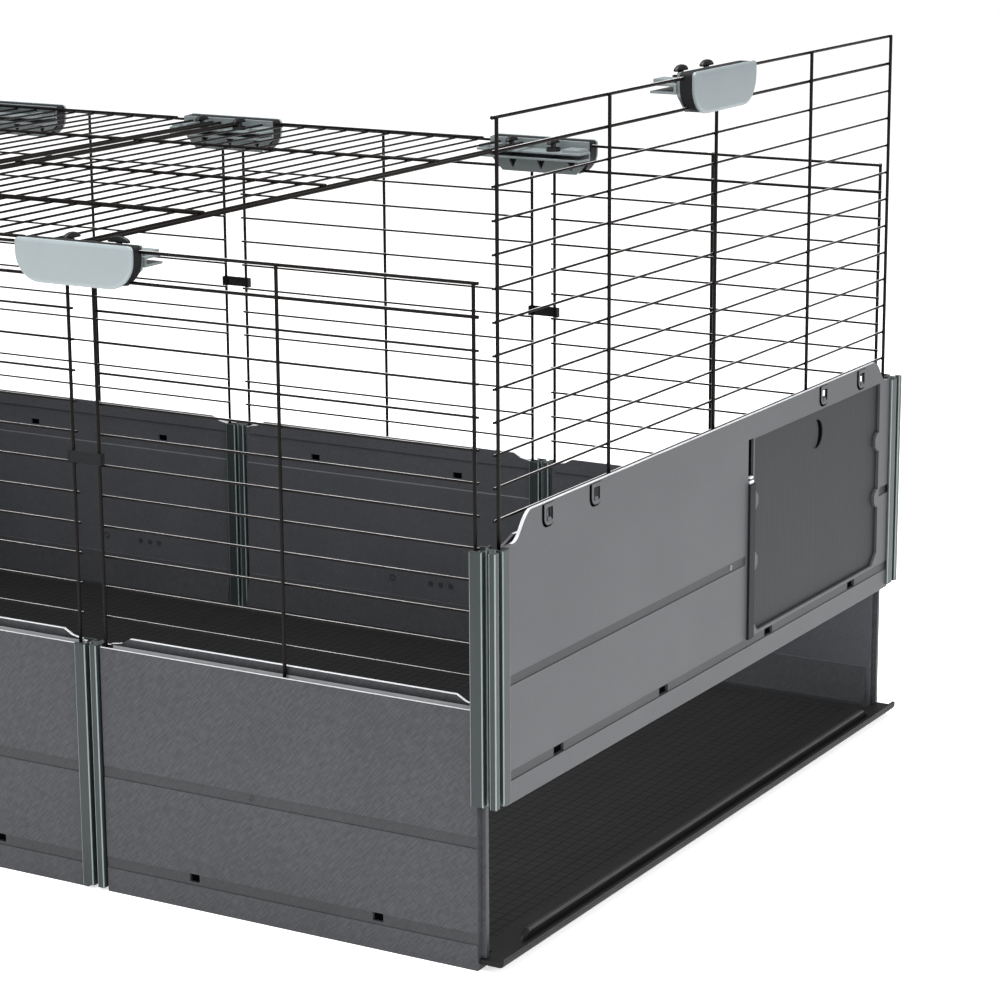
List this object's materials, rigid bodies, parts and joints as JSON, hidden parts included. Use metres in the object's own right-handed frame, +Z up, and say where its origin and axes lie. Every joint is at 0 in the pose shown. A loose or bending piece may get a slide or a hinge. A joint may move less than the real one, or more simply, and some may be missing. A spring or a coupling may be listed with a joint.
{
  "type": "rabbit cage",
  "caption": "Modular rabbit cage: flat tray, plastic walls with wire mesh above, lifting ends with sliding doors, hinged roof meshes, clamp connectors.",
  "frame": {"origin": "centre of the bounding box on the floor", "axes": "+X along the length towards the lifted end, +Y to the back, +Z up"},
  "size_m": [1.075, 0.719, 0.6223],
  "materials": {
    "tray_plastic": "fine crossed texture",
    "wall_plastic": "satin, fine diagonal texture",
    "side_plastic": "satin, fine diagonal texture",
    "door_plastic": "fine upright ribs",
    "post_plastic": "satin",
    "coated_wire": "gloss coating",
    "clip_plastic": "satin",
    "grip_rubber": "matte",
    "connector_plastic": "satin",
    "knob_plastic": "satin"
  },
  "bodies": {
    "base": {"base_left": "tray_plastic", "base_middle": "tray_plastic", "base_right": "tray_plastic", "bracket_back": "connector_plastic", "bracket_front": "connector_plastic", "face_back": "connector_plastic", "face_front": "connector_plastic", "grip_back": "grip_rubber", "grip_front": "grip_rubber", "post_back_left": "post_plastic", "post_back_right": "post_plastic", "post_front_left": "post_plastic", "post_front_right": "post_plastic", "wall_back_left": "wall_plastic", "wall_back_middle": "wall_plastic", "wall_back_right": "wall_plastic", "wall_front_left": "wall_plastic", "wall_front_middle": "wall_plastic", "wall_front_right": "wall_plastic", "wire_clips": "clip_plastic", "wires_back_left": "coated_wire", "wires_back_middle": "coated_wire", "wires_back_right": "coated_wire", "wires_front_left": "coated_wire", "wires_front_middle": "coated_wire", "wires_front_right": "coated_wire"},
    "side_right": {"side_wall_right": "side_plastic", "side_wires_right": "coated_wire", "corner_post_front_right": "post_plastic", "corner_post_back_right": "post_plastic", "face_side": "connector_plastic", "grip_side": "grip_rubber", "bracket_side": "connector_plastic"},
    "side_left": {"side_wall_left": "side_plastic", "side_wires_left": "coated_wire", "corner_post_front_left": "post_plastic", "corner_post_back_left": "post_plastic"},
    "door_right": {"door_right": "door_plastic"},
    "door_left": {"door_left": "door_plastic"},
    "roof_middle": {"roof_middle": "coated_wire"},
    "roof_left": {"roof_left": "coated_wire"},
    "knob_back_1": {"knob_back_1": "knob_plastic"},
    "knob_back_2": {"knob_back_2": "knob_plastic"},
    "knob_back_3": {"knob_back_3": "knob_plastic"},
    "knob_back_4": {"knob_back_4": "knob_plastic"},
    "knob_front_1": {"knob_front_1": "knob_plastic"},
    "knob_front_2": {"knob_front_2": "knob_plastic"},
    "knob_front_3": {"knob_front_3": "knob_plastic"},
    "knob_front_4": {"knob_front_4": "knob_plastic"},
    "knob_side_back": {"knob_side_back": "knob_plastic"},
    "knob_side_front": {"knob_side_front": "knob_plastic"}
  },
  "joints": [
    {"name": "side_right_lift", "type": "slide", "parent": "base", "child": "side_right", "axis": [0, 0, 1], "range_m": [-0.113, 0.06]},
    {"name": "side_left_lift", "type": "slide", "parent": "base", "child": "side_left", "axis": [0, 0, 1], "range_m": [0, 0.17]},
    {"name": "door_right_lift", "type": "slide", "parent": "side_right", "child": "door_right", "axis": [0, 0, 1], "range_m": [0, 0.14]},
    {"name": "door_left_lift", "type": "slide", "parent": "side_left", "child": "door_left", "axis": [0, 0, 1], "range_m": [0, 0.14]},
    {"name": "roof_middle_hinge", "type": "hinge", "parent": "base", "child": "roof_middle", "pos_m": [-0.167, 0, 0.4995], "axis": [0, -1, 0], "range_deg": [0, 90]},
    {"name": "roof_left_hinge", "type": "hinge", "parent": "base", "child": "roof_left", "pos_m": [-0.183, 0, 0.4995], "axis": [0, 1, 0], "range_deg": [0, 90]},
    {"name": "knob_front_1_turn", "type": "hinge", "parent": "base", "child": "knob_front_1", "pos_m": [-0.197, -0.33, 0.5], "axis": [0, 0, 1], "range_deg": [0, 90]},
    {"name": "knob_front_2_turn", "type": "hinge", "parent": "base", "child": "knob_front_2", "pos_m": [-0.153, -0.33, 0.5], "axis": [0, 0, 1], "range_deg": [0, 90]},
    {"name": "knob_front_3_turn", "type": "hinge", "parent": "base", "child": "knob_front_3", "pos_m": [0.153, -0.33, 0.5], "axis": [0, 0, 1], "range_deg": [0, 90]},
    {"name": "knob_front_4_turn", "type": "hinge", "parent": "base", "child": "knob_front_4", "pos_m": [0.197, -0.33, 0.5], "axis": [0, 0, 1], "range_deg": [0, 90]},
    {"name": "knob_back_1_turn", "type": "hinge", "parent": "base", "child": "knob_back_1", "pos_m": [-0.197, 0.33, 0.5], "axis": [0, 0, 1], "range_deg": [0, 90]},
    {"name": "knob_back_2_turn", "type": "hinge", "parent": "base", "child": "knob_back_2", "pos_m": [-0.153, 0.33, 0.5], "axis": [0, 0, 1], "range_deg": [0, 90]},
    {"name": "knob_back_3_turn", "type": "hinge", "parent": "base", "child": "knob_back_3", "pos_m": [0.153, 0.33, 0.5], "axis": [0, 0, 1], "range_deg": [0, 90]},
    {"name": "knob_back_4_turn", "type": "hinge", "parent": "base", "child": "knob_back_4", "pos_m": [0.197, 0.33, 0.5], "axis": [0, 0, 1], "range_deg": [0, 90]},
    {"name": "knob_side_front_turn", "type": "hinge", "parent": "side_right", "child": "knob_side_front", "pos_m": [0.505, -0.022, 0.5], "axis": [0, 0, 1], "range_deg": [0, 90]},
    {"name": "knob_side_back_turn", "type": "hinge", "parent": "side_right", "child": "knob_side_back", "pos_m": [0.505, 0.022, 0.5], "axis": [0, 0, 1], "range_deg": [0, 90]}
  ]
}
